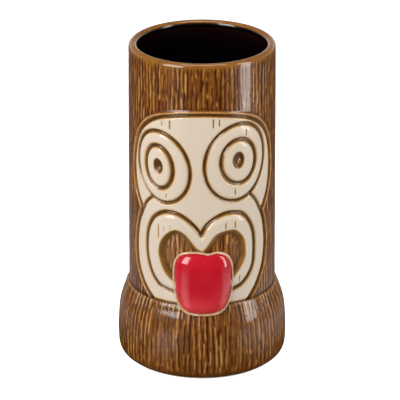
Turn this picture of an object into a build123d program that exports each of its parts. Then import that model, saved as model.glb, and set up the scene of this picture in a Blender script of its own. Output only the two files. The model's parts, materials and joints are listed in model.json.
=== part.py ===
from build123d import *
from math import cos, hypot, pi, sin
import os

# A tiki mug of slip-cast, glazed stoneware. Millimetres, +Z up.
# The origin is the middle of the foot on the table; the face looks along -Y.
# Every solid is one clay part or one glaze zone, laid on the core of the tube.

# Driving dimensions
HEIGHT = 173.0              # table to the crest of the rim
RIM_RADIUS = 38.0           # outside of the tube at the rim
TUBE_FOOT_RADIUS = 38.8     # outside of the tube where it meets the collar
INSIDE_RADIUS = 33.5        # straight inside of the cup, glaze included
COLLAR_RADIUS = 44.8        # widest part of the base collar
COLLAR_TOP = 41.0           # height of the crease above the collar
WALL = 4.5                  # fired thickness of the cast wall
GLAZE = 0.5                 # thickness of the black inside glaze

# Relief, measured outwards from the outside of the tube
RELIEF_BED = -1.0           # the bark and every relief stand on the core here
PLATE_RISE = 0.5
EYE_RISE = 1.0
BORDER_RISE = 1.3
PUPIL_RISE = 0.4
LIP_RISE = 1.6
MOUTH_RISE = -0.5
TONGUE_RISE = 5.5
TONGUE_EDGE_RISE = 1.6

# Grooves and seams between the reliefs
GROOVE = 1.6                # width of the grooves round plate, eyes and lips
BORDER_WIDTH = 2.0          # width of the raised border of the plate
TONGUE_EDGE_WIDTH = 1.0

# Rim, collar, floor and foot
RIM_BAND_HEIGHT = 3.5
RIM_BAND_FOOT = HEIGHT - RIM_BAND_HEIGHT
SOCKET_DEPTH = 5.0          # the tube stands this deep in the collar
FLOOR_TOP = 8.0
FOOT_HEIGHT = 3.0
FOOT_OUTER_RADIUS = 41.0
FOOT_INNER_RADIUS = 35.0
COLLAR_LIFT = 0.6           # the glazed collar stops this far above the table
CORNER = 3.6                # rounding of the collar's bottom corner

# Collar profile: (narrower than the widest radius by, height)
COLLAR_SIDE = ((0.3, COLLAR_LIFT + CORNER), (0.0, 14.0), (0.8, 26.0), (2.6, 33.2), (4.5, 38.0))
BELLY_FOOT = 17.0           # the hollow of the collar is straight below this height
BELLY_MIDDLE = (2.6, 28.0)

# Bark: two staggered rows of upright grooves cut in the sleeve
BARK_GROOVES = 60
BARK_WIDTH = 0.9
BARK_DEPTH = 0.5
BARK_ROWS = ((46.0, 102.0), (109.0, 167.0))

FACE_RADIUS = 0.5 * (RIM_RADIUS + TUBE_FOOT_RADIUS)  # arc lengths are taken here
REACH = 60.0                # how far face outlines are carried forwards
OVAL_STEPS = 12
TOUCH = 0.001               # runs of an outline nearer than this are joined


def tube_radius(z):
    """Outside radius of the tapered tube at height z."""
    share = (HEIGHT - z) / (HEIGHT - COLLAR_TOP)
    return RIM_RADIUS + (TUBE_FOOT_RADIUS - RIM_RADIUS) * share


def turned(*edges):
    """Solid of revolution from the edges of a closed profile of (radius, height)."""
    return revolve(make_face(Plane.XZ * Curve([*edges])), Axis.Z)


def layer(inner, outer, low=COLLAR_TOP, high=RIM_BAND_FOOT):
    """Tapered shell between two offsets from the outside of the tube."""
    section = Polyline(
        (tube_radius(low) + inner, low),
        (tube_radius(low) + outer, low),
        (tube_radius(high) + outer, high),
        (tube_radius(high) + inner, high),
        close=True,
    )
    return turned(*section.edges())


def on_face(points):
    """Points of the flat face plane from arc lengths and heights on the tube."""
    return [(FACE_RADIUS * sin(s / FACE_RADIUS), z) for s, z in points]


def lobe(*runs):
    """Face bounded by smooth runs of points, with straight lines across any gaps."""
    curves = [Spline(*on_face(run)) for run in runs]
    bridges = []
    for curve, following in zip(curves, curves[1:] + curves[:1]):
        if (following @ 0 - curve @ 1).length > TOUCH:
            bridges.append(Line(curve @ 1, following @ 0))
    return make_face(Curve([*curves, *bridges]))


def oval(s, z, half_width, half_height, lean=0.0):
    """Face bounded by an oval wrapped round the tube; lean shifts its top sideways."""
    turns = [2 * pi * step / OVAL_STEPS for step in range(OVAL_STEPS)]
    points = [
        (s + half_width * cos(turn) + lean * sin(turn), z + half_height * sin(turn))
        for turn in turns
    ]
    return make_face(Spline(*on_face(points), periodic=True))


def forward(face):
    """Prism from the middle of the mug out through its front."""
    return extrude(Plane.XZ * face, amount=REACH)


def spread(run, amount):
    """An outline's run, travelled counterclockwise, moved outwards over the tube."""
    moved = []
    for index, (s, z) in enumerate(run):
        before = run[max(index - 1, 0)]
        after = run[min(index + 1, len(run) - 1)]
        along_s = after[0] - before[0]
        along_z = after[1] - before[1]
        length = hypot(along_s, along_z)
        moved.append((s + amount * along_z / length, z - amount * along_s / length))
    return moved


# Outlines of the face, as (arc length from the middle, height) on the tube,
# each travelled counterclockwise. The plate ends inside the collar's lip.
PLATE_END = COLLAR_TOP - 3
PLATE_TOP = (
    (35.2, 91.0), (39.8, 99.6), (41.9, 110.6), (41.3, 121.6), (38.0, 130.6),
    (31.2, 138.1), (20.0, 143.1), (0.0, 145.5), (-20.0, 143.0), (-31.0, 137.4),
    (-37.6, 129.8), (-40.8, 120.6), (-41.6, 111.0), (-39.8, 100.6), (-34.8, 91.4),
)
PLATE_LEFT_CHEEK = ((-27.6, 98.2), (-32.4, 92.8), (-38.8, 75.0), (-37.8, 57.2), (-21.3, PLATE_END))
PLATE_RIGHT_CHEEK = ((21.0, PLATE_END), (35.2, 57.8), (37.0, 75.0), (32.0, 92.0), (24.7, 100.0))
LIP_LEFT = (
    (-0.5, 80.6), (-8.0, 89.1), (-17.0, 92.1), (-27.2, 86.7),
    (-31.6, 70.5), (-28.0, 55.9), (-18.9, 48.5), (-12.0, 47.7),
)
LIP_RIGHT = (
    (12.0, 47.7), (20.6, 50.7), (27.6, 59.0), (29.4, 70.5),
    (26.2, 85.0), (16.0, 92.3), (6.5, 89.6), (-0.5, 80.6),
)
MOUTH_LEFT = (
    (0.0, 71.8), (-8.0, 80.5), (-12.5, 83.0), (-17.0, 81.4),
    (-22.4, 74.0), (-22.0, 64.0), (-16.6, 56.8),
)
MOUTH_RIGHT = (
    (18.4, 57.6), (22.8, 65.0), (22.4, 75.6), (17.5, 82.2),
    (12.0, 82.9), (6.5, 80.5), (0.0, 71.8),
)

# Eyes: middle (arc length, height), outer halves, disc halves, pupil halves, lean
LEFT_EYE = dict(middle=(-22.6, 116.0), ring=(16.1, 19.2), disc=(8.3, 11.5), pupil=(2.5, 3.8), lean=-1.8)
RIGHT_EYE = dict(middle=(19.0, 119.5), ring=(17.7, 20.5), disc=(9.9, 12.0), pupil=(3.0, 4.4), lean=1.4)

# Tongue: a rounded slab, its middle and size on the flat face plane
TONGUE_MIDDLE = (0.5, 53.6)
TONGUE_SIZE = (29.6, 32.8)
TONGUE_CORNER = 8.0
TONGUE_DOME = (20.9, 20.0, 31.5)  # half axes of the ellipsoid that domes it
CLEFT_WIDTH = 1.6
CLEFT_LENGTH = 5.0
CLEFT_SHIFT = 2.0           # the cleft lies this far right of the tongue's middle


def make_cup_wall():
    """Straight cast tube, from the collar's socket to the rim band."""
    foot = COLLAR_TOP - SOCKET_DEPTH
    core_foot = tube_radius(COLLAR_TOP) + RELIEF_BED
    section = Polyline(
        (INSIDE_RADIUS + GLAZE, foot),
        (core_foot, foot),
        (core_foot, COLLAR_TOP),
        (tube_radius(RIM_BAND_FOOT) + RELIEF_BED, RIM_BAND_FOOT),
        (INSIDE_RADIUS + GLAZE, RIM_BAND_FOOT),
        close=True,
    )
    return turned(*section.edges())


def make_rim_band():
    """Smooth drinking rim with a fully rounded crest."""
    outer = tube_radius(RIM_BAND_FOOT)
    crest = 0.5 * (INSIDE_RADIUS + RIM_RADIUS)
    shoulder = HEIGHT - (RIM_RADIUS - crest)
    return turned(
        Line((INSIDE_RADIUS, RIM_BAND_FOOT), (outer, RIM_BAND_FOOT)),
        Line((outer, RIM_BAND_FOOT), (RIM_RADIUS, shoulder)),
        ThreePointArc((RIM_RADIUS, shoulder), (crest, HEIGHT), (INSIDE_RADIUS, shoulder)),
        Line((INSIDE_RADIUS, shoulder), (INSIDE_RADIUS, RIM_BAND_FOOT)),
    )


def belly_curve(radius, belly_radius):
    """Curve of the hollow, from the tube's inside down to the straight belly."""
    return Spline(
        (radius, COLLAR_TOP - SOCKET_DEPTH),
        (belly_radius - BELLY_MIDDLE[0], BELLY_MIDDLE[1]),
        (belly_radius, BELLY_FOOT),
        tangents=((0, -1), (0, -1)),
    )


def make_base_collar():
    """Flared base with a rounded lip; its wall keeps the cast thickness."""
    core = tube_radius(COLLAR_TOP) + RELIEF_BED
    socket = COLLAR_TOP - SOCKET_DEPTH
    inside = COLLAR_RADIUS - WALL
    side = [(COLLAR_RADIUS - narrower, z) for narrower, z in COLLAR_SIDE]
    corner_foot = (side[0][0] - CORNER, COLLAR_LIFT)
    return turned(
        Line((FOOT_OUTER_RADIUS, COLLAR_LIFT), corner_foot),
        RadiusArc(corner_foot, side[0], -CORNER),
        Spline(*side, (TUBE_FOOT_RADIUS, COLLAR_TOP)),
        Line((TUBE_FOOT_RADIUS, COLLAR_TOP), (core, COLLAR_TOP)),
        Line((core, COLLAR_TOP), (core, socket)),
        Line((core, socket), (INSIDE_RADIUS + GLAZE, socket)),
        belly_curve(INSIDE_RADIUS + GLAZE, inside),
        Line((inside, BELLY_FOOT), (inside, FOOT_HEIGHT)),
        Line((inside, FOOT_HEIGHT), (FOOT_OUTER_RADIUS, FOOT_HEIGHT)),
        Line((FOOT_OUTER_RADIUS, FOOT_HEIGHT), (FOOT_OUTER_RADIUS, COLLAR_LIFT)),
    )


def make_cup_floor():
    """Disc that closes the bottom, inside the collar."""
    thickness = FLOOR_TOP - FOOT_HEIGHT
    disc = Cylinder(COLLAR_RADIUS - WALL, thickness, align=(Align.CENTER, Align.CENTER, Align.MIN))
    return Pos(0, 0, FOOT_HEIGHT) * disc


def make_foot_ring():
    """Flat ring of bare clay that the mug stands on."""
    ring = Circle(FOOT_OUTER_RADIUS) - Circle(FOOT_INNER_RADIUS)
    return extrude(ring, amount=FOOT_HEIGHT)


def make_inside_glaze():
    """Thin black skin on the inside of wall, collar and floor."""
    socket = COLLAR_TOP - SOCKET_DEPTH
    inside = COLLAR_RADIUS - WALL
    return turned(
        Line((INSIDE_RADIUS, RIM_BAND_FOOT), (INSIDE_RADIUS + GLAZE, RIM_BAND_FOOT)),
        Line((INSIDE_RADIUS + GLAZE, RIM_BAND_FOOT), (INSIDE_RADIUS + GLAZE, socket)),
        belly_curve(INSIDE_RADIUS + GLAZE, inside),
        Line((inside, BELLY_FOOT), (inside, FLOOR_TOP)),
        Line((inside, FLOOR_TOP), (0, FLOOR_TOP)),
        Line((0, FLOOR_TOP), (0, FLOOR_TOP + GLAZE)),
        Line((0, FLOOR_TOP + GLAZE), (inside - GLAZE, FLOOR_TOP + GLAZE)),
        Line((inside - GLAZE, FLOOR_TOP + GLAZE), (inside - GLAZE, BELLY_FOOT)),
        belly_curve(INSIDE_RADIUS, inside - GLAZE),
        Line((INSIDE_RADIUS, socket), (INSIDE_RADIUS, RIM_BAND_FOOT)),
    )


def make_bark_grooves():
    """Upright grooves standing half in, half out of the sleeve's surface."""
    grooves = []
    pitch = 360 / BARK_GROOVES
    for row, (low, high) in enumerate(BARK_ROWS):
        reach = tube_radius(high)
        blade = Box(2 * BARK_DEPTH, BARK_WIDTH, high - low)
        for step in range(BARK_GROOVES):
            turn = pitch * (step + 0.5 * row)
            grooves.append(Rot(0, 0, turn) * Pos(reach, 0, 0.5 * (low + high)) * blade)
    return grooves


def eye_faces(eye):
    """Flat faces of one eye: its ring, disc and pupil, and the hole they all lie in."""
    s, z = eye["middle"]
    half = 0.5 * GROOVE

    def face(size, change):
        lean = eye["lean"] * size[1] / eye["ring"][1]
        return oval(s, z, size[0] + change, size[1] + change, lean)

    return (
        face(eye["ring"], -half) - face(eye["disc"], half),
        face(eye["disc"], -half) - face(eye["pupil"], half),
        face(eye["pupil"], -half),
        face(eye["ring"], half),
    )


def make_tongue(outline):
    """Domed slab with a short cleft at its top, lying over lip and collar."""
    middle_x, middle_z = TONGUE_MIDDLE
    half_height = 0.5 * TONGUE_SIZE[1]
    crest = TUBE_FOOT_RADIUS + TONGUE_RISE
    dome = Pos(middle_x, TONGUE_DOME[1] - crest, middle_z) * scale(Sphere(1), by=TONGUE_DOME)
    slab = layer(RELIEF_BED, TONGUE_RISE + 1, middle_z - half_height, middle_z + half_height)
    cleft = Box(CLEFT_WIDTH, CLEFT_LENGTH, 2 * CLEFT_LENGTH)
    cleft_at = (middle_x + CLEFT_SHIFT, -crest, middle_z + half_height)
    return (slab & outline & dome) - Pos(*cleft_at) * Rot(45, 0, 0) * cleft


def brow_face(amount):
    """Flat face of the plate's upper lobe, spread outwards by an amount."""
    return lobe(spread(PLATE_TOP, amount))


def cheek_face(amount):
    """Flat face of the plate's lower lobe, spread outwards by an amount."""
    return lobe(spread(PLATE_LEFT_CHEEK, amount), spread(PLATE_RIGHT_CHEEK, amount))


def relief(rise, face, low=COLLAR_TOP, high=RIM_BAND_FOOT):
    """Raised piece of the tube's surface with the outline of a flat face."""
    return layer(RELIEF_BED, rise, low, high) & forward(face)


# Flat faces of the mask, before they are laid on the tube
border = brow_face(GROOVE + BORDER_WIDTH) + cheek_face(GROOVE + BORDER_WIDTH)
border_hole = brow_face(GROOVE) + cheek_face(GROOVE)
lip = lobe(LIP_LEFT, LIP_RIGHT)
lip_hole = lip + lobe(spread(LIP_LEFT, GROOVE)) + lobe(spread(LIP_RIGHT, GROOVE))
mouth = lobe(MOUTH_LEFT, MOUTH_RIGHT)
tongue = Pos(*TONGUE_MIDDLE) * RectangleRounded(*TONGUE_SIZE, TONGUE_CORNER)
tongue_seat = offset(tongue, TONGUE_EDGE_WIDTH, kind=Kind.ARC)
seat_low = TONGUE_MIDDLE[1] - TONGUE_SIZE[1] / 2 - 2 * TONGUE_EDGE_WIDTH
seat_high = TONGUE_MIDDLE[1] + TONGUE_SIZE[1] / 2 + 2 * TONGUE_EDGE_WIDTH
left_ring, left_disc, left_pupil, left_hole = eye_faces(LEFT_EYE)
right_ring, right_disc, right_pupil, right_hole = eye_faces(RIGHT_EYE)

# Below the crease the tongue lies on the collar, in front of this core
core = Cylinder(tube_radius(COLLAR_TOP) + RELIEF_BED, HEIGHT, align=(Align.CENTER, Align.CENTER, Align.MIN))

parts = {
    "cup_wall": make_cup_wall(),
    "cup_floor": make_cup_floor(),
    "foot_ring": make_foot_ring(),
    "rim_band": make_rim_band(),
    "base_collar": make_base_collar() - (forward(tongue_seat) - core),
    "inside_glaze": make_inside_glaze(),
    "bark_sleeve": layer(RELIEF_BED, 0) - forward(border) - make_bark_grooves(),
    "plate_border": relief(BORDER_RISE, border - border_hole - tongue_seat),
    "brow_plate": relief(PLATE_RISE, brow_face(0) - cheek_face(0) - left_hole - right_hole),
    "cheek_plate": relief(PLATE_RISE, cheek_face(0) - left_hole - right_hole - lip_hole - tongue_seat),
    "left_eye_ring": relief(EYE_RISE, left_ring),
    "left_eye_disc": relief(EYE_RISE, left_disc),
    "left_pupil": relief(PUPIL_RISE, left_pupil),
    "right_eye_ring": relief(EYE_RISE, right_ring),
    "right_eye_disc": relief(EYE_RISE, right_disc),
    "right_pupil": relief(PUPIL_RISE, right_pupil),
    "lip_band": relief(LIP_RISE, lip - mouth - tongue_seat),
    "mouth_floor": relief(MOUTH_RISE, mouth - tongue_seat),
    "tongue_edge": relief(TONGUE_EDGE_RISE, tongue_seat - tongue, seat_low, seat_high) - core,
    "tongue": make_tongue(forward(tongue)) - core,
}

os.makedirs("parts", exist_ok=True)
for name, part in parts.items():
    export_step(part, f"parts/{name}.step")
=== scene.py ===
import json
import math

import bpy
import numpy as np
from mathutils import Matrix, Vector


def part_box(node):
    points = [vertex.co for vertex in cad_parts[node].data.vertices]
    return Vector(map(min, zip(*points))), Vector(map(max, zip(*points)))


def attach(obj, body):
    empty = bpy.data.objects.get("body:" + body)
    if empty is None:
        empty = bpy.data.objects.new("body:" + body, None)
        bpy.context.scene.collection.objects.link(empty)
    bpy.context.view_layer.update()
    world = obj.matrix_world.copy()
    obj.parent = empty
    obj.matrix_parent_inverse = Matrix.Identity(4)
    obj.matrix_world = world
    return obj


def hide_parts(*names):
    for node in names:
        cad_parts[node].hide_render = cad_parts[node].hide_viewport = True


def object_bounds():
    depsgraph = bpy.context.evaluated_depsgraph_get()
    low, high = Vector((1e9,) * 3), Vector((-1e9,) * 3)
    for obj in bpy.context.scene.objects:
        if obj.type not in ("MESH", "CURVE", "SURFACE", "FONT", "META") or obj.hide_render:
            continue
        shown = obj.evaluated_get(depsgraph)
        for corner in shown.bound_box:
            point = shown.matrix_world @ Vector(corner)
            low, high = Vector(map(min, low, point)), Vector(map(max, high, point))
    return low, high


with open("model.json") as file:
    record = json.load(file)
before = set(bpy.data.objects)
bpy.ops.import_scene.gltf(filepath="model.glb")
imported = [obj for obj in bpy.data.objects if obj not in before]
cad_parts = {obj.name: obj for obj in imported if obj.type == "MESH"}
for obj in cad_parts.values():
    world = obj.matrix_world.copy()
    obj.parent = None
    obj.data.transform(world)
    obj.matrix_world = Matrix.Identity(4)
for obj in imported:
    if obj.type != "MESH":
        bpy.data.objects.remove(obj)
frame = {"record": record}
cad_low, cad_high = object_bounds()

# A glazed tiki mug. Lengths are metres. MM is one millimetre of the mug as drawn at
# its usual height, so every size below follows the height of the frame.
HEIGHT = cad_high.z - cad_low.z
DRAWN_HEIGHT = 173.0
MM = HEIGHT / DRAWN_HEIGHT
RIM_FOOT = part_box("rim_band")[0].z / MM
COLLAR_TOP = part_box("base_collar")[1].z / MM
COLLAR_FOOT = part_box("base_collar")[0].z / MM
COLLAR_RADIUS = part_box("base_collar")[1].x / MM
RIM_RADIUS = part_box("rim_band")[1].x / MM
TUBE_FOOT_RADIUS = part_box("bark_sleeve")[1].x / MM
INSIDE_RADIUS = frame["record"]["mounts"][1]["dims"]["r_mm"]
FLOOR_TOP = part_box("inside_glaze")[0].z / MM
BARK_END = DRAWN_HEIGHT - 1.1                    # the strokes run out on the rim's rounding
BARK_FADE = 3.4                                  # and fade over this height below it
BARK_TONE = 0.44                                 # tone of the glaze: 0 pooled dark, 1 worn light
RIM_TONE = 0.52
UNROLL = 0.5 * (RIM_RADIUS + TUBE_FOOT_RADIUS)   # arc lengths are taken at this radius
GIRTH = 2 * math.pi * UNROLL

# Grids of the tube: half width of the front's, step of both, step up the back's
FACE_HALF = 50.0
STEP = 0.4
BACK_STEP_Z = 0.8
SKIRT = 0.8                                      # how far the open edges turn inwards

# The plate's edge, as distances outside the cream plate's outline
GROOVE_AT = 0.7
BEAD_AT = 2.4
SHADOW_AT = 3.9

# Heights and depths of the relief; none of it is deeper than BED
BED = -0.95
PLATE_RISE = 0.5
BEAD_RISE = 0.85
EDGE_GROOVE = 1.15
CHEEK_GROOVE = 1.1
RING_RISE = 0.45
RING_GROOVE = 1.15
DISC_RISE = 0.4
DISC_GROOVE = 1.25
PUPIL_DEPTH = 1.0
GLINT_RISE = 0.6
LIP_RISE = 1.0
LIP_GROOVE = 1.2
NICK_DEPTH = 0.35
NICK_WIDTH = 0.27
BARK_RIDGE = 0.12
BARK_GROOVE = 0.22
COLLAR_RIDGE = 0.16
COLLAR_GROOVE = 0.3

rng = np.random.default_rng(7)


# ---------------------------------------------------------------- curves and fields

def smooth(points, per=6, closed=True):
    """Catmull-Rom curve through the points."""
    p = np.array(points, float)
    if closed:
        p = np.vstack([p[-1], p, p[0], p[1]])
    else:
        p = np.vstack([2 * p[0] - p[1], p, 2 * p[-1] - p[-2]])
    t = np.linspace(0, 1, per, endpoint=False)[:, None]
    out = []
    for a, b, c, d in zip(p[:-3], p[1:-2], p[2:-1], p[3:]):
        out.append(0.5 * (2 * b + (c - a) * t + (2 * a - 5 * b + 4 * c - d) * t**2
                          + (3 * b - a - 3 * c + d) * t**3))
    out = np.vstack(out)
    return out if closed else np.vstack([out, p[-2]])


def distance(curve, s, z, closed=True):
    """Distance from each grid point to the curve."""
    ends = np.roll(curve, -1, axis=0) if closed else curve[1:]
    starts = curve if closed else curve[:-1]
    best = np.full(s.shape, 1e9)
    for (ax, az), (bx, bz) in zip(starts, ends):
        dx, dz = bx - ax, bz - az
        along = ((s - ax) * dx + (z - az) * dz) / max(dx * dx + dz * dz, 1e-9)
        along = np.clip(along, 0, 1)
        best = np.minimum(best, (s - ax - along * dx)**2 + (z - az - along * dz)**2)
    return np.sqrt(best)


def inside(curve, s, z):
    """True where a grid point lies inside the closed curve."""
    hit = np.zeros(s.shape, bool)
    for (ax, az), (bx, bz) in zip(curve, np.roll(curve, -1, axis=0)):
        if az != bz:
            crosses = (az > z) != (bz > z)
            hit ^= crosses & (s < (bx - ax) * (z - az) / (bz - az) + ax)
    return hit


def depth_in(curve, s, z):
    """Signed distance to a closed curve, positive inside it."""
    return np.where(inside(curve, s, z), 1, -1) * distance(curve, s, z)


def oval(s, z, half_s, half_z, lean=0.0, steps=48):
    """Closed ellipse; lean moves its top sideways."""
    turn = np.linspace(0, 2 * math.pi, steps, endpoint=False)
    across = half_s * np.cos(turn) + lean * np.sin(turn)
    return np.stack([s + across, z + half_z * np.sin(turn)], 1)


def bump(x, width):
    """Bell curve of height 1 round zero."""
    return np.exp(-(x / width)**2)


def ramp(low, high, x):
    """Smooth step from 0 at low to 1 at high."""
    t = np.clip((x - low) / (high - low), 0, 1)
    return t * t * (3 - 2 * t)


# ---------------------------------------------------------------- the mask's outlines
# (arc length from the middle, height above the table), read on the unrolled tube

PLATE_TOP = smooth([
    (35.2, 91.0), (39.8, 99.6), (41.9, 110.6), (41.3, 121.6), (38.0, 130.6), (31.2, 138.1),
    (20.0, 143.1), (0.0, 145.5), (-20.0, 143.0), (-31.0, 137.4), (-37.6, 129.8), (-40.8, 120.6),
    (-41.6, 111.0), (-39.8, 100.6), (-34.8, 91.4)], closed=False)
CHEEKS = smooth([
    (24.7, 100.0), (-27.6, 98.2), (-32.4, 92.8), (-36.6, 84.0), (-38.8, 75.0), (-39.3, 66.2),
    (-37.8, 57.2), (-33.4, 49.0), (-27.4, 42.6), (-20.0, 37.0), (18.0, 35.4), (24.0, 41.0),
    (30.4, 48.6), (35.2, 57.8), (37.2, 67.7), (36.9, 77.2), (34.6, 86.8), (30.4, 94.4)])
CHEEK_LINES = (
    smooth([(-28.8, 97.6), (-31.6, 95.0), (-34.0, 91.4), (-36.4, 86.0)], closed=False),
    smooth([(26.5, 100.6), (30.0, 96.6), (33.3, 91.2), (36.2, 85.5)], closed=False))
LIP = np.vstack([
    smooth([(-0.5, 80.6), (-3.5, 84.9), (-8.0, 89.1), (-12.5, 91.5), (-17.0, 92.1),
            (-21.8, 91.0), (-27.2, 86.7), (-30.7, 79.5), (-31.6, 70.5), (-30.7, 63.2),
            (-28.0, 55.9), (-23.5, 50.5), (-18.9, 48.5), (-12.0, 47.0)], closed=False),
    smooth([(12.0, 47.5), (15.6, 49.1), (20.6, 50.7), (24.8, 54.3), (28.2, 60.0),
            (29.2, 67.0), (28.9, 77.2), (26.4, 84.6), (22.0, 90.2), (17.5, 91.9),
            (12.0, 92.0), (6.5, 89.6), (2.0, 85.6), (-0.5, 80.6)], closed=False)])
MOUTH = np.vstack([
    smooth([(0.0, 71.8), (-3.0, 74.0), (-8.0, 80.5), (-12.5, 83.0), (-17.0, 81.4),
            (-21.6, 75.9), (-23.0, 69.5), (-22.0, 64.0), (-18.9, 57.7),
            (-15.0, 54.0)], closed=False),
    smooth([(15.0, 55.0), (18.4, 58.6), (22.5, 65.0), (23.0, 70.5), (22.0, 76.8),
            (17.5, 82.3), (12.0, 82.7), (6.5, 80.5), (2.0, 74.0), (0.0, 71.8)], closed=False)])
EYES = {
    "left": dict(
        ring=oval(-22.3, 116.0, 16.1, 19.2, -1.8), disc=oval(-23.5, 116.0, 8.3, 11.5, -0.8),
        pupil=oval(-23.4, 116.6, 2.5, 3.8, -0.4), glint=(-23.2, 114.8)),
    "right": dict(
        ring=oval(18.9, 119.2, 17.7, 20.8, 1.4), disc=oval(19.6, 119.8, 9.9, 12.0),
        pupil=oval(18.9, 120.6, 3.0, 4.4), glint=(18.9, 119.6)),
}
# Hairline nicks: (arc length, top, bottom, strength)
NICKS = (
    (-21.6, 141.5, 138.6, 0.8), (-17.0, 142.5, 137.3, 1.0), (5.7, 144.3, 139.1, 1.0),
    (8.8, 144.0, 140.0, 1.0), (23.6, 136.8, 132.7, 0.8), (17.2, 105.5, 101.8, 0.9),
    (-18.9, 102.3, 100.0, 0.7), (-23.1, 84.5, 76.4, 0.8), (-20.0, 84.0, 81.0, 0.4),
    (-16.4, 85.0, 82.5, 0.4), (12.0, 87.3, 83.2, 0.9), (17.0, 87.5, 83.4, 0.9),
    (19.5, 56.8, 52.7, 0.7))
TONGUE = dict(middle=0.5, half=15.0, top=71.0, bottom=36.8, rise=5.4)
CLEFT_AT = 2.9                                   # arc length of the cleft in the tongue's top


# ---------------------------------------------------------------- bark

def scatter_streaks(girth, low, high, pitch):
    """Upright strokes in uneven columns: (s, low, high, half width, slant, strength)."""
    strokes = []
    columns = int(girth / pitch)
    for column in range(columns):
        z = low - rng.uniform(0, 10)
        while z < high:
            length = rng.uniform(8, 21)
            s = (column + rng.uniform(-0.22, 0.22)) * girth / columns - girth / 2
            strokes.append((s, z, z + length, rng.uniform(0.28, 0.58), rng.uniform(-0.05, 0.05),
                            rng.uniform(0.55, 1.0)))
            z += length + rng.uniform(-2.5, 1.5)
    return strokes


def draw_streaks(strokes, s, z, girth):
    """Field of the strokes on a grid given by its two axes, joined across the back seam."""
    field = np.zeros((len(z), len(s)))
    for centre, low, high, half, slant, strength in strokes:
        rows = slice(*np.searchsorted(z, (low - 1, high + 1)))
        rise = z[rows]
        if not len(rise):
            continue
        ends = ramp(low - 0.6, low + 2.2, rise) * (1 - ramp(high - 2.2, high + 0.6, rise))
        middle = centre + slant * (rise - 0.5 * (low + high)) + 0.14 * np.sin(rise * 0.55 + centre)
        for turn in (-girth, 0, girth):
            columns = slice(*np.searchsorted(s, (centre + turn - 3, centre + turn + 3)))
            across = s[columns]
            if len(across):
                stroke = bump(across[None, :] - turn - middle[:, None], half)
                stroke = stroke * (strength * ends)[:, None]
                field[rows, columns] = np.maximum(field[rows, columns], stroke)
    return field


TUBE_GROOVES = scatter_streaks(GIRTH, COLLAR_TOP, RIM_FOOT - 1, 2.35)
TUBE_RIDGES = scatter_streaks(GIRTH, COLLAR_TOP, RIM_FOOT - 1, 2.6)


def bark_fields(s, z):
    """Height and tone (0 pooled dark, 1 worn light) of the bark on the tube."""
    grooves = draw_streaks(TUBE_GROOVES, s, z, GIRTH)
    ridges = draw_streaks(TUBE_RIDGES, s, z, GIRTH)
    kept = 1 - ramp(BARK_END - BARK_FADE, BARK_END, z)[:, None]
    grooves = grooves * kept
    ridges = ridges * kept
    ridges = ridges * (1 - 0.8 * grooves)
    height = BARK_RIDGE * ridges - BARK_GROOVE * grooves
    tone = BARK_TONE + 0.56 * ridges - 0.5 * grooves + (RIM_TONE - BARK_TONE) * (1 - kept)
    return height, np.clip(tone, 0, 1)


# ---------------------------------------------------------------- the tube's surface

def tube_radius(z):
    """Radius of the slightly tapered tube at a height."""
    share = (DRAWN_HEIGHT - z) / (DRAWN_HEIGHT - COLLAR_TOP)
    return RIM_RADIUS + (TUBE_FOOT_RADIUS - RIM_RADIUS) * share


def wrap(s, z, radius):
    """Points in metres from arc length, height and radius in millimetres."""
    angle = s / UNROLL
    return np.stack([radius * np.sin(angle), -radius * np.cos(angle), z + 0 * angle], -1) * MM


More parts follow.
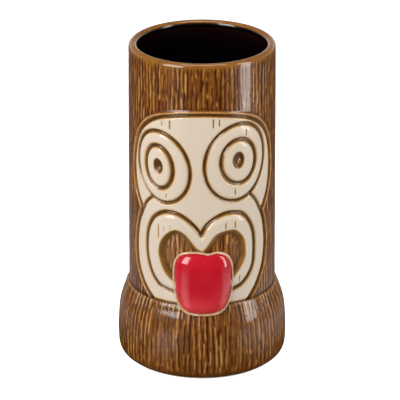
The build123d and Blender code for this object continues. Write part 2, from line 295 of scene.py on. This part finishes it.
def mask_fields(s, z):
    """Height, tone and glaze pooling of the face, with painted shade in the crease, at the bead's
    foot and in the mouth, and the zone each point lies in.
    """
    gs, gz = np.meshgrid(s, z)
    bark, tone = bark_fields(s, z)
    cheeks = depth_in(CHEEKS, gs, gz)
    plate = np.maximum(depth_in(PLATE_TOP, gs, gz), cheeks)
    lip = depth_in(LIP, gs, gz)
    mouth = depth_in(MOUTH, gs, gz)

    # bark outside, a round bead, a groove, then the cream plate
    on_bark = 1 - ramp(-4.3, -3.1, plate)
    height = bark * on_bark + PLATE_RISE * ramp(-1.4, 0.4, plate)
    height += BEAD_RISE * bump(plate + BEAD_AT, 0.8) - EDGE_GROOVE * bump(plate + GROOVE_AT, 0.75)
    tone = tone * on_bark + (1 - on_bark) * (0.42 + 0.5 * bump(plate + BEAD_AT, 0.6))
    # painted shade along the bead's outer foot
    tone -= 0.12 * bump(plate + SHADOW_AT, 0.8)
    pool = bump(plate + GROOVE_AT, 0.9)
    cream = ramp(-1.6, -0.5, plate)
    zone = np.where(plate > -3.6, "plate_border", "bark_front")
    zone = np.where(plate > -0.8, np.where(cheeks > -0.8, "cheek_plate", "brow_plate"), zone)

    for line in CHEEK_LINES:
        cut = bump(distance(line, gs, gz, closed=False), 0.85) * ramp(-1, 0.5, plate)
        height -= CHEEK_GROOVE * cut
        pool = np.maximum(pool, cut)

    for side, eye in EYES.items():
        ring = depth_in(eye["ring"], gs, gz)
        disc = depth_in(eye["disc"], gs, gz)
        pupil = depth_in(eye["pupil"], gs, gz)
        glint = np.hypot(gs - eye["glint"][0], gz - eye["glint"][1])
        height += RING_RISE * ramp(0, 3.2, ring) + DISC_RISE * ramp(0, 3.0, disc)
        height -= RING_GROOVE * bump(ring, 0.95) + DISC_GROOVE * bump(disc, 1.1)
        height += GLINT_RISE * bump(glint, 1.0) - PUPIL_DEPTH * ramp(-0.8, 1.2, pupil)
        pool = np.maximum(pool, np.maximum(bump(ring, 1.05), bump(disc, 1.2)))
        # paler over the glint: a painted highlight in the pupil
        pool = np.maximum(pool, ramp(-0.9, 0.5, pupil) * (1.0 - 0.6 * bump(glint, 1.1)))
        zone = np.where(ring > 0, side + "_eye_ring", zone)
        zone = np.where(disc > 0, side + "_eye_disc", zone)
        zone = np.where(pupil > 0, side + "_pupil", zone)

    # lips: a groove round them, a full band, then a wall down to the mouth's floor
    height += LIP_RISE * ramp(0, 3.6, lip) - LIP_GROOVE * bump(lip, 1.0)
    pool = np.maximum(pool, bump(lip, 1.1))
    floor = ramp(2.0, 3.6, mouth)
    wall = ramp(-0.6, 3.0, mouth)
    height = height * (1 - wall) + (BED + 0.35 + 0.6 * bark) * wall
    # brown down the mouth's walls, deepest near its floor: painted shade in the recess
    pool = np.maximum(pool, 0.6 * ramp(-0.8, 0.6, mouth) + 0.3 * ramp(1.2, 3.0, mouth))
    cream = cream * (1 - floor)
    tone = tone * (1 - floor) + floor * (bark_fields(s, z)[1] + 0.1)
    zone = np.where(lip > 0, "lip_band", zone)
    zone = np.where(mouth > 0, "mouth_floor", zone)

    for at, top, bottom, strength in NICKS:
        ends = ramp(bottom - 0.4, bottom + 0.8, gz) * (1 - ramp(top - 0.8, top + 0.4, gz))
        nick = bump(gs - at, NICK_WIDTH) * ends
        height -= NICK_DEPTH * strength * nick
        pool = np.maximum(pool, strength * nick)

    # the dark crease where the tube meets the collar: painted shade, put into both the pool and the
    # tone
    painted_crease_shade = bump(gz - COLLAR_TOP, 1.1)
    pool = np.maximum(pool, painted_crease_shade * cream)
    tone = tone - 0.4 * painted_crease_shade
    strokes = bark * (on_bark + 0.6 * floor)
    return (np.maximum(height, BED), strokes, np.clip(tone, 0, 1), np.clip(pool, 0, 1),
            np.clip(cream, 0, 1), zone)


# ---------------------------------------------------------------- meshes

def grid_normals(points, around):
    """Normals of a grid of points; around is true when its rows close on themselves."""
    if around:
        across = np.roll(points, -1, axis=1) - np.roll(points, 1, axis=1)
    else:
        across = np.gradient(points, axis=1)
    normal = np.cross(across, np.gradient(points, axis=0))
    return normal / np.maximum(np.linalg.norm(normal, axis=-1, keepdims=True), 1e-12)


def sheet(name, points, fields, calm=None, keep=None, around=False, skirt=0.0):
    """Mesh from a grid of points, with its fields as attributes.

    Only quads marked in keep are used. A skirt turns each open edge inwards, so
    the sheet's edge has thickness. calm is the same grid without its fine strokes:
    the gloss coat follows it, as glaze fills fine cuts."""
    rows, columns = points.shape[:2]
    number = np.arange(rows * columns).reshape(rows, columns)
    right = np.roll(number, -1, axis=1) if around else number[:, 1:]
    left = number if around else number[:, :-1]
    quads = np.stack([left[:-1], right[:-1], right[1:], left[1:]], -1)
    quads = quads.reshape(-1, 4) if keep is None else quads[keep]
    used, faces = np.unique(quads, return_inverse=True)
    faces = faces.reshape(-1, 4)
    where = points.reshape(-1, 3)[used]
    normal = grid_normals(points, around).reshape(-1, 3)[used]
    values = {key: field.reshape(-1)[used] for key, field in fields.items()}
    level = normal if calm is None else grid_normals(calm, around).reshape(-1, 3)[used]
    if skirt:
        starts = faces.reshape(-1)
        ends = np.roll(faces, -1, axis=1).reshape(-1)
        size = len(used)
        open_edge = ~np.isin(starts * size + ends, ends * size + starts)
        starts, ends = starts[open_edge], ends[open_edge]
        edge = np.unique(np.concatenate([starts, ends]))
        place = np.zeros(size, int)
        place[edge] = np.arange(len(edge))
        outer = size + place
        inner = outer + len(edge)
        turned = np.stack([outer[ends], outer[starts], inner[starts], inner[ends]], 1)
        faces = np.vstack([faces, turned])
        where = np.vstack([where, where[edge], where[edge] - normal[edge] * skirt * MM])
        normal = np.vstack([normal, normal[edge], normal[edge]])
        level = np.vstack([level, level[edge], level[edge]])
        values = {key: np.concatenate([v, v[edge], v[edge]]) for key, v in values.items()}
    mesh = bpy.data.meshes.new(name)
    mesh.from_pydata(where.tolist(), [], faces.tolist())
    for key, value in values.items():
        layer = mesh.attributes.new(key, "FLOAT", "POINT")
        layer.data.foreach_set("value", value.astype(np.float32))
    coat = mesh.attributes.new("coat_normal", "FLOAT_VECTOR", "POINT")
    coat.data.foreach_set("vector", level.astype(np.float32).ravel())
    mesh.polygons.foreach_set("use_smooth", np.ones(len(mesh.polygons), bool))
    mesh.normals_split_custom_set_from_vertices(normal.tolist())
    piece = bpy.data.objects.new(name, mesh)
    bpy.context.scene.collection.objects.link(piece)
    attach(piece, "root")
    return piece


def lathe(name, profile, fields, steps=288):
    """Turned piece from (radius, height) points, with fields along the profile."""
    angle = np.linspace(-math.pi, math.pi, steps, endpoint=False)
    profile = np.array(profile)
    radius = profile[:, :1] + 0 * angle
    height = profile[:, 1:] + 0 * angle
    points = np.stack([radius * np.sin(angle), -radius * np.cos(angle), height], -1) * MM
    grids = {key: np.array(value)[:, None] + 0 * angle for key, value in fields.items()}
    return sheet(name, points, grids, around=True)


# ---------------------------------------------------------------- materials

def linear(red, green, blue):
    """Scene-linear colour from an 8-bit display colour."""
    def part(value):
        share = value / 255
        return share / 12.92 if share <= 0.04045 else ((share + 0.055) / 1.055)**2.4
    return part(red), part(green), part(blue), 1.0


class Nodes:
    """Small helper that adds and links shader nodes."""

    def __init__(self, owner):
        owner.use_nodes = True
        self.tree = owner.node_tree

    def add(self, kind, inputs=(), **settings):
        node = self.tree.nodes.new(kind)
        for key, value in settings.items():
            setattr(node, key, value)
        for key, value in dict(inputs).items():
            self.feed(value, node.inputs[key])
        return node

    def feed(self, value, socket):
        if isinstance(value, bpy.types.NodeSocket):
            self.tree.links.new(value, socket)
        else:
            socket.default_value = value

    def math(self, operation, a, b):
        return self.add("ShaderNodeMath", {0: a, 1: b}, operation=operation).outputs[0]

    def span(self, value, low, high, first, last, kind="LINEAR"):
        """Value that runs from first to last as the input runs from low to high."""
        limits = {"Value": value, "From Min": low, "From Max": high, "To Min": first, "To Max": last}
        return self.add("ShaderNodeMapRange", limits, interpolation_type=kind).outputs[0]

    def seen_by(self, rays):
        return self.add("ShaderNodeLightPath").outputs[rays]


class Material(Nodes):
    """A principled material, its textures and its coat of glaze."""

    def __init__(self, name):
        self.material = bpy.data.materials.new(name)
        super().__init__(self.material)
        self.surface = self.tree.nodes["Principled BSDF"]

    def noise(self, scale, detail=2.0, stretch=(1, 1, 1)):
        place = self.add("ShaderNodeTexCoord").outputs["Object"]
        mapped = self.add("ShaderNodeMapping", {"Vector": place, "Scale": stretch}).outputs[0]
        inputs = {"Vector": mapped, "Scale": scale, "Detail": detail}
        return self.add("ShaderNodeTexNoise", inputs).outputs["Fac"]

    def attribute(self, name):
        return self.add("ShaderNodeAttribute", attribute_name=name).outputs["Fac"]

    def linear_ramp(self, value, stops):
        """Colour ramp from (position, scene-linear colour) stops."""
        node = self.add("ShaderNodeValToRGB", {"Fac": value})
        points = node.color_ramp.elements
        while len(points) < len(stops):
            points.new(0.5)
        for point, (position, colour) in zip(points, stops):
            point.position = position
            point.color = colour
        return node.outputs["Color"]

    def ramp(self, value, stops):
        """Colour ramp from (position, display colour) stops."""
        return self.linear_ramp(value, [(position, linear(*colour)) for position, colour in stops])

    def mix(self, share, a, b):
        """Colour between a and b; sockets 6 and 7 are the node's colours."""
        node = self.add("ShaderNodeMix", data_type="RGBA")
        self.feed(share, node.inputs[0])
        self.feed(a, node.inputs[6])
        self.feed(b, node.inputs[7])
        return node.outputs[2]

    def calm_coat(self, share):
        """Turn the coat's normals part of the way to those of the form under the strokes.

        Sockets 4 and 5 are the mix node's vectors."""
        form = self.add("ShaderNodeAttribute", attribute_name="coat_normal").outputs["Vector"]
        real = self.add("ShaderNodeNewGeometry").outputs["Normal"]
        node = self.add("ShaderNodeMix", data_type="VECTOR")
        self.feed(share, node.inputs[0])
        self.feed(real, node.inputs[4])
        self.feed(form, node.inputs[5])
        unit = self.add("ShaderNodeVectorMath", {0: node.outputs[1]}, operation="NORMALIZE")
        self.feed(unit.outputs[0], self.surface.inputs["Coat Normal"])

    def finish(self, colour, roughness, coat=0.6, coat_roughness=0.07):
        """Set the surface and its coat, and return the material."""
        self.feed(colour, self.surface.inputs["Base Color"])
        self.feed(roughness, self.surface.inputs["Roughness"])
        self.surface.inputs["Specular IOR Level"].default_value = SPECULAR
        self.surface.inputs["Coat Weight"].default_value = coat
        self.surface.inputs["Coat Roughness"].default_value = coat_roughness
        return self.material


SPECULAR = 0.18                                  # most of the gloss is the coat's
COAT_CALM = 0.8                                  # share of the strokes that the coat fills

BARK_STOPS = (
    (0.0, (42, 15, 3)), (0.25, (80, 39, 9)), (0.5, (120, 70, 21)),
    (0.75, (158, 108, 46)), (1.0, (202, 158, 98)))
CREAM_STOPS = (
    (0.0, (212, 196, 176)), (0.2, (204, 180, 142)), (0.36, (178, 132, 66)),
    (0.62, (124, 84, 36)), (1.0, (72, 44, 18)))


def glaze_material():
    """Honey glaze on bark and cream on the mask; both pool brown in the grooves."""
    n = Material("brown_and_cream_glaze")
    drift = n.math("SUBTRACT", n.noise(240.0, 3.0), 0.5)
    fine = n.math("SUBTRACT", n.noise(900.0, 2.0, (1, 1, 0.25)), 0.5)
    tone = n.math("ADD", n.attribute("tone"), n.math("MULTIPLY", drift, 0.28))
    tone = n.math("ADD", tone, n.math("MULTIPLY", fine, 0.3))
    patchy = n.math("MULTIPLY", n.math("MULTIPLY", drift, 0.55), n.attribute("pool"))
    pool = n.math("ADD", n.attribute("pool"), patchy)
    colour = n.mix(n.attribute("cream"), n.ramp(tone, BARK_STOPS), n.ramp(pool, CREAM_STOPS))
    rough = n.math("ADD", 0.26, n.math("MULTIPLY", n.noise(500.0), 0.1))
    n.calm_coat(COAT_CALM)
    return n.finish(colour, rough, coat_roughness=0.1)


def inside_material():
    """Black liner glaze, brown where it thins at the rim."""
    n = Material("black_liner_glaze")
    shade = n.math("ADD", n.attribute("tone"), n.math("MULTIPLY", n.noise(120.0), 0.04))
    colour = n.ramp(shade, (
        (0.0, (3, 2, 3)), (0.12, (16, 3, 6)), (0.4, (70, 26, 8)), (1.0, (160, 108, 44))))
    return n.finish(colour, 0.12, coat=0.4)


def rim_material():
    """Honey glaze over the rim, black from its inner side down."""
    n = Material("rim_glaze")
    drift = n.math("SUBTRACT", n.noise(180.0, 3.0), 0.5)
    shade = n.math("ADD", n.attribute("tone"), n.math("MULTIPLY", drift, 0.22))
    colour = n.ramp(shade, (
        (0.0, (4, 2, 3)), (0.14, (30, 8, 6)), (0.25, (70, 36, 8)), (0.5, (126, 80, 26)),
        (0.75, (172, 120, 52)), (1.0, (208, 164, 104))))
    n.calm_coat(COAT_CALM)
    return n.finish(colour, 0.2)


def tongue_material():
    """Red gloss enamel with faint cloudy patches, paler towards its tip."""
    n = Material("red_enamel")
    paler = n.math("MULTIPLY", n.attribute("tone"), 0.45)
    cloud = n.math("ADD", paler, n.math("MULTIPLY", n.noise(90.0, 3.0), 0.6))
    colour = n.ramp(cloud, ((0.15, (184, 12, 33)), (0.4, (192, 22, 38)), (0.85, (210, 56, 62))))
    return n.finish(colour, 0.2, coat=0.8)


def tongue_edge_material():
    """Thin golden glaze round the tongue."""
    n = Material("gold_edge_glaze")
    colour = n.ramp(n.noise(300.0, 3.0), ((0.3, (196, 150, 110)), (0.7, (226, 190, 156))))
    return n.finish(colour, 0.2)


def clay_material():
    """Unglazed pale clay."""
    n = Material("bare_clay")
    colour = n.ramp(n.noise(700.0, 4.0), ((0.3, (178, 156, 128)), (0.7, (202, 184, 158))))
    return n.finish(colour, 0.85, coat=0.0)


# ---------------------------------------------------------------- the mug's pieces

def dress(piece, material, *nodes):
    """Give a piece its material and hide the CAD nodes it stands for."""
    piece.data.materials.append(material)
    if nodes:
        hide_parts(*nodes)
    return piece


def make_mask(glaze):
    """Front of the tube: one relief surface, parted along its grooves."""
    s = np.arange(-FACE_HALF, FACE_HALF + STEP / 2, STEP)
    z = np.arange(COLLAR_TOP - 1.2, RIM_FOOT + STEP / 2, STEP)
    z[-1] = RIM_FOOT
    height, strokes, tone, pool, cream, zone = mask_fields(s, z)
    gs, gz = np.meshgrid(s, z)
    points = wrap(gs, gz, tube_radius(gz) + height)
    calm = wrap(gs, gz, tube_radius(gz) + height - strokes)
    fields = {"tone": tone, "pool": pool, "cream": cream}
    quad_zone = zone[:-1, :-1]
    for name in sorted(set(quad_zone.ravel())):
        node = "bark_sleeve" if name == "bark_front" else name
        piece = sheet("skin_" + name, points, fields, calm, keep=quad_zone == name, skirt=SKIRT)
        dress(piece, glaze, node)


def make_back(glaze):
    """The rest of the bark, round the sides and the back."""
    s = np.linspace(FACE_HALF, GIRTH - FACE_HALF, int((GIRTH - 2 * FACE_HALF) / STEP))
    z = np.linspace(COLLAR_TOP - 1.2, RIM_FOOT, int((RIM_FOOT - COLLAR_TOP) / BACK_STEP_Z))
    height, tone = bark_fields(s, z)
    gs, gz = np.meshgrid(s, z)
    # painted shade in the crease where the tube meets the collar
    tone = np.clip(tone - 0.4 * bump(gz - COLLAR_TOP, 1.1), 0, 1)
    none = np.zeros(gs.shape)
    points = wrap(gs, gz, tube_radius(gz) + height)
    calm = wrap(gs, gz, tube_radius(gz))
    fields = {"tone": tone, "pool": none, "cream": none}
    piece = sheet("skin_bark_back", points, fields, calm, skirt=SKIRT)
    dress(piece, glaze)


def collar_profile():
    """Side of the collar from its lip down to its rounded foot: (radius, height)."""
    r = COLLAR_RADIUS
    return smooth([
        (TUBE_FOOT_RADIUS - 0.9, COLLAR_TOP - 0.9), (TUBE_FOOT_RADIUS + 0.1, COLLAR_TOP - 0.15),
        (r - 4.9, COLLAR_TOP - 1.3), (r - 3.9, 37.0), (r - 2.4, 33.0), (r - 1.1, 28.0),
        (r - 0.5, 23.0), (r - 0.1, 16.0), (r - 0.05, 9.0), (r - 0.4, 4.6), (r - 1.6, 1.9),
        (r - 3.8, COLLAR_FOOT), (r - 6.2, COLLAR_FOOT)], per=12, closed=False)


def make_collar(glaze):
    """Flared base with its own bark strokes, deepest at the lip."""
    profile = collar_profile()
    along = np.concatenate([[0], np.cumsum(np.hypot(*np.diff(profile, axis=0).T))])
    v = np.linspace(0, along[-1], 130)
    radius = np.interp(v, along, profile[:, 0])
    rise = np.interp(v, along, profile[:, 1])
    girth = 2 * math.pi * COLLAR_RADIUS
    s = np.linspace(-girth / 2, girth / 2, 640, endpoint=False)
    grooves = draw_streaks(scatter_streaks(girth, 2.0, 41.0, 3.1), s, v, girth)
    ridges = draw_streaks(scatter_streaks(girth, 2.0, 42.0, 2.9), s, v, girth)
    depth = (ramp(1.0, 2.6, v) * (1 + 0.7 * bump(v - 4.0, 3.0)) * (1 - ramp(36.5, 41.5, v)))[:, None]
    ridges = ridges * (1 - 0.75 * grooves)
    height = (COLLAR_RIDGE * ridges - COLLAR_GROOVE * grooves) * depth
    # ridges worn light and grooves pooled dark; the last term is painted shade in the crease at the
    # collar's top
    tone = 0.46 + (0.52 * ridges - 0.5 * grooves) * depth - 0.42 * bump(v - 0.4, 0.9)[:, None]
    # a painted highlight line along the lip's rounding, and darker towards the foot
    tone = tone + 0.16 * bump(v - 2.2, 1.0)[:, None] - 0.12 * ramp(37, 43, v)[:, None]
    slope_r, slope_z = np.gradient(radius, v), np.gradient(rise, v)
    out_r, out_z = -slope_z, slope_r
    angle = s / COLLAR_RADIUS
    points = []
    for lift in (height, 0 * height):
        r = radius[:, None] + lift * out_r[:, None]
        up = rise[:, None] + lift * out_z[:, None]
        points.append(np.stack([r * np.sin(angle), -r * np.cos(angle), up], -1) * MM)
    none = np.zeros(height.shape)
    # rows run downwards, so they are turned over to face outwards
    fields = {"tone": np.clip(tone, 0, 1)[::-1], "pool": none, "cream": none}
    piece = sheet("base_skin", points[0][::-1], fields, points[1][::-1], around=True)
    dress(piece, glaze, "base_collar")


def make_rim(glaze):
    """Rounded drinking rim; the bark strokes run out on its outer side."""
    half = 0.5 * (RIM_RADIUS - INSIDE_RADIUS)
    middle = 0.5 * (RIM_RADIUS + INSIDE_RADIUS)
    turn = np.linspace(0, math.pi, 33)
    radius = np.concatenate([[tube_radius(RIM_FOOT)], middle + half * np.cos(turn), [INSIDE_RADIUS]])
    rise = np.concatenate([[RIM_FOOT], DRAWN_HEIGHT - half + half * np.sin(turn), [RIM_FOOT - 0.2]])
    s = np.linspace(-GIRTH / 2, GIRTH / 2, 900, endpoint=False)
    climb = len(turn) // 2 + 2
    strokes, tone = np.zeros((2, len(rise), len(s)))
    strokes[:climb], tone[:climb] = bark_fields(s, rise[:climb])
    tone[climb:-1] = (RIM_TONE * (1 - ramp(2.45, 2.9, turn[climb - 1:])))[:, None]
    gs, gz = np.meshgrid(s, rise)
    points = wrap(gs, gz, radius[:, None] + strokes)
    none = 0 * tone
    fields = {"tone": tone, "pool": none, "cream": none}
    calm = wrap(gs, gz, radius[:, None] + none)
    dress(sheet("rim_skin", points, fields, calm, around=True), glaze, "rim_band")


def make_inside(glaze):
    """Black hollow of the cup, down to its floor."""
    belly = COLLAR_RADIUS - 5.0
    floor = FLOOR_TOP + 0.5
    profile = smooth([
        (INSIDE_RADIUS, RIM_FOOT), (INSIDE_RADIUS, 120.0), (INSIDE_RADIUS, 60.0),
        (INSIDE_RADIUS, 38.0), (belly - 2.6, 28.0), (belly, 19.0), (belly - 0.6, floor + 2.5),
        (belly - 4.0, floor), (20.0, floor), (0.02, floor)], closed=False)
    tone = 0.13 * ramp(RIM_FOOT - 9, RIM_FOOT, profile[:, 1])
    dress(lathe("inside_skin", profile, {"tone": tone}), glaze, "inside_glaze")


def tongue_outline(count, grow=0.0):
    """Rounded square, narrower below, with a shallow cleft in its top edge."""
    turn = np.linspace(0, 2 * math.pi, count, endpoint=False)
    half_z = 0.5 * (TONGUE["top"] - TONGUE["bottom"])
    middle_z = 0.5 * (TONGUE["top"] + TONGUE["bottom"])
    c, d = np.cos(turn), np.sin(turn)
    power = 2 / np.where(d > 0, 3.9, 3.0)
    across = np.sign(c) * np.abs(c)**power
    up = np.sign(d) * np.abs(d)**power
    half = TONGUE["half"] + grow - 1.5 * ramp(0.2, -1.0, up)
    s = TONGUE["middle"] + half * across
    z = middle_z + (half_z + grow) * up
    z -= 1.1 * bump(s - CLEFT_AT, 2.6) * (d > 0) * ramp(0.5, 1.0, up)
    return np.stack([s, z], 1)


def tongue_point(s, z, height):
    """Point at a height over the tube, lifted where the tongue hangs over the collar's lip."""
    base = 1.7 * ramp(COLLAR_TOP + 6.0, COLLAR_TOP - 4.5, z)
    return wrap(s, z, tube_radius(z) + base + height)


def make_tongue(red, gold):
    """Domed red tongue and the thin golden edge it sits in."""
    count = 220
    outline = tongue_outline(count)
    middle = np.array([TONGUE["middle"], 0.5 * (TONGUE["top"] + TONGUE["bottom"])])
    share = np.sin(np.linspace(math.pi / 2, 0.001, 40))[:, None, None]
    place = middle + (outline - middle)[None] * share
    s, z = place[..., 0], place[..., 1]
    dome = (1 - share[..., 0]**3.4)**0.55
    height = -0.6 + (TONGUE["rise"] + 0.6) * dome
    height = height - 0.25 * bump(s - CLEFT_AT, 1.6) * ramp(65.0, 70.0, z)
    points = tongue_point(s, z, height)
    paler = ramp(56.0, 40.0, z)
    # rows run inwards, so the columns are turned over to face outwards
    domed = sheet("tongue_skin", points[:, ::-1], {"tone": paler[:, ::-1]}, around=True)
    dress(domed, red, "tongue")

    rows = []
    for turn in np.linspace(0, 2 * math.pi, 14, endpoint=False):
        path = tongue_outline(count, 0.1 + 0.6 * math.cos(turn))
        lift = 0.9 + 0.8 * math.sin(turn) + 0 * path[:, 0]
        rows.append(tongue_point(path[:, 0], path[:, 1], lift))
    rows.append(rows[0])
    ring = np.array(rows)
    edge = sheet("tongue_edge_skin", ring, {"tone": ring[..., 0] * 0}, around=True)
    dress(edge, gold, "tongue_edge")


def dress_hidden(clay, dark):
    """Clay under the glaze: only the foot and the recess under it are seen."""
    for node, material in (("cup_wall", dark), ("cup_floor", clay), ("foot_ring", clay)):
        data = bpy.data.objects[node].data
        data.materials.clear()
        data.materials.append(material)


glaze = glaze_material()
make_mask(glaze)
make_back(glaze)
make_collar(glaze)
make_rim(rim_material())
black = inside_material()
make_inside(black)
make_tongue(tongue_material(), tongue_edge_material())
dress_hidden(clay_material(), black)


# ---------------------------------------------------------------- studio

# Glow that the floor gives off only to glossy rays, a painted reflection on the glaze, by
# direction from the mug: (share of a turn from the back, brightness). The middle, 0.5, is the front.
REFLECTION_GLOW_BY_DIRECTION = (
    (0.0, 0.16), (0.12, 0.12), (0.34, 0.1), (0.37, 0.5), (0.41, 0.5), (0.44, 0.03),
    (0.6, 0.03), (0.64, 0.45), (0.7, 0.42), (0.78, 0.2), (0.87, 0.06), (1.0, 0.14))
# That painted reflection glow is scaled by how far off the floor is: (heights away, factor)
REFLECTION_GLOW_BY_DISTANCE = ((0.33, 0.1), (0.62, 3.0), (1.8, 0.9))


def floor_material():
    """White floor to the camera; to glossy rays it glows by direction and distance, a painted
    reflection on the glaze that is dark in front; other rays see plain grey.
    """
    n = Material("white_floor")
    n.surface.inputs["Base Color"].default_value = (0.93, 0.93, 0.93, 1)
    n.surface.inputs["Roughness"].default_value = 0.9
    n.surface.inputs["Specular IOR Level"].default_value = 0.1
    n.surface.inputs["Emission Color"].default_value = (1, 1, 1, 1)
    place = n.add("ShaderNodeNewGeometry").outputs["Position"]
    away = n.add("ShaderNodeVectorMath", {0: place}, operation="LENGTH").outputs["Value"]
    glow = n.span(away, HEIGHT, 3 * HEIGHT, 0.8, 1.0)
    n.feed(glow, n.surface.inputs["Emission Strength"])
    part = n.add("ShaderNodeSeparateXYZ", {"Vector": place}).outputs
    azimuth = n.math("ARCTAN2", part["X"], n.math("MULTIPLY", part["Y"], -1.0))
    turn = n.math("ADD", n.math("DIVIDE", azimuth, 2 * math.pi), 0.5)
    by_direction = n.linear_ramp(turn, [
        (position, (level, level, level, 1)) for position, level in REFLECTION_GLOW_BY_DIRECTION])
    factor = 1.0
    for (near, first), (far, last) in zip(REFLECTION_GLOW_BY_DISTANCE, REFLECTION_GLOW_BY_DISTANCE[1:]):
        most = max(first, last)
        step = n.span(away, near * HEIGHT, far * HEIGHT, first / most, last / most)
        factor = n.math("MULTIPLY", factor, step)
    brightest = max(level for _, level in REFLECTION_GLOW_BY_DISTANCE)
    factor = n.math("MULTIPLY", factor, brightest)
    # glow seen only by glossy rays: a painted reflection on the glaze
    painted_reflection = n.add("ShaderNodeEmission", {
        "Color": by_direction, "Strength": factor}).outputs[0]
    plain = n.add("ShaderNodeBsdfDiffuse", {"Color": (0.5, 0.5, 0.5, 1)}).outputs[0]
    hidden = n.add("ShaderNodeMixShader", {
        0: n.seen_by("Is Glossy Ray"), 1: plain, 2: painted_reflection}).outputs[0]
    mixed = n.add("ShaderNodeMixShader", {
        0: n.seen_by("Is Camera Ray"), 1: hidden, 2: n.surface.outputs[0]}).outputs[0]
    n.feed(mixed, n.tree.nodes["Material Output"].inputs["Surface"])
    return n.material


def make_surround():
    """White surround low behind the mug, darker above and in front; plain white to the camera."""
    world = bpy.data.worlds.new("surround")
    n = Nodes(world)
    place = n.add("ShaderNodeTexCoord").outputs["Generated"]
    part = n.add("ShaderNodeSeparateXYZ", {0: place}).outputs
    behind = n.span(part["Y"], -0.2, 0.5, 0.0, 1.0, "SMOOTHSTEP")
    low = n.span(part["Z"], 0.0, 0.5, 0.8, 0.05, "SMOOTHSTEP")
    strength = n.add("ShaderNodeMath", {0: behind, 1: low, 2: 0.12}, operation="MULTIPLY_ADD")
    around = n.tree.nodes["Background"]
    n.feed((1, 1, 1, 1), around.inputs["Color"])
    n.feed(strength.outputs[0], around.inputs["Strength"])
    white = n.add("ShaderNodeBackground", {"Color": (1, 1, 1, 1)})
    choose = n.add("ShaderNodeMixShader", {
        0: n.seen_by("Is Camera Ray"), 1: around.outputs[0], 2: white.outputs[0]})
    n.feed(choose.outputs[0], n.tree.nodes["World Output"].inputs["Surface"])
    bpy.context.scene.world = world


def make_floor():
    """Wide floor just under the mug's foot."""
    mesh = bpy.data.meshes.new("studio_floor")
    reach = 30 * HEIGHT
    corners = [(-reach, -reach, 0), (reach, -reach, 0), (reach, reach, 0), (-reach, reach, 0)]
    mesh.from_pydata(corners, [], [(0, 1, 2, 3)])
    floor = bpy.data.objects.new("studio_floor", mesh)
    floor.location.z = cad_low.z - 0.0005
    bpy.context.scene.collection.objects.link(floor)
    mesh.materials.append(floor_material())


def soft_box(name, width, height, power, location, rotation):
    """Rectangular area light."""
    light = bpy.data.lights.new(name, "AREA")
    light.shape = "RECTANGLE"
    light.size = width
    light.size_y = height
    light.energy = power
    thing = bpy.data.objects.new(name, light)
    thing.location = location
    thing.rotation_euler = rotation
    bpy.context.scene.collection.objects.link(thing)


def upright_soft_box(name, azimuth, away, low, high, width, power):
    """Soft box facing the mug; azimuth is from the mug's front towards its right side."""
    turn = math.radians(azimuth)
    location = (away * math.sin(turn), -away * math.cos(turn), 0.5 * (low + high))
    soft_box(name, width, high - low, power, location, (math.pi / 2, 0, turn))


make_floor()
upright_soft_box("soft_box_right", 68, 1.9 * HEIGHT, 0.17 * HEIGHT, 2.6 * HEIGHT, 0.55 * HEIGHT, 1.0)
upright_soft_box("soft_box_left", -46, 3.5 * HEIGHT, 1.0 * HEIGHT, 4.6 * HEIGHT, 1.9 * HEIGHT, 6.0)
soft_box("soft_box_above", 1.6 * HEIGHT, 0.35 * HEIGHT, 0.8, (0, 0, 3.4 * HEIGHT), (0, 0, 0))

make_surround()
scene = bpy.context.scene
scene.view_settings.view_transform = "Standard"

# The camera stands in front and above, far off, with a long lens
CAMERA_AWAY = 7.561 * HEIGHT
CAMERA_UP = 3.553 * HEIGHT
CAMERA_LEFT = 0.0063 * HEIGHT
CAMERA_TILT = 67.94                              # degrees from looking straight down
camera = bpy.data.objects.new("camera", bpy.data.cameras.new("camera"))
camera.data.sensor_width = 36
camera.data.lens = 240.4
camera.data.clip_end = 100
camera.location = (-CAMERA_LEFT, -CAMERA_AWAY, CAMERA_UP)
camera.rotation_euler = (math.radians(CAMERA_TILT), 0, 0)
scene.collection.objects.link(camera)
scene.camera = camera
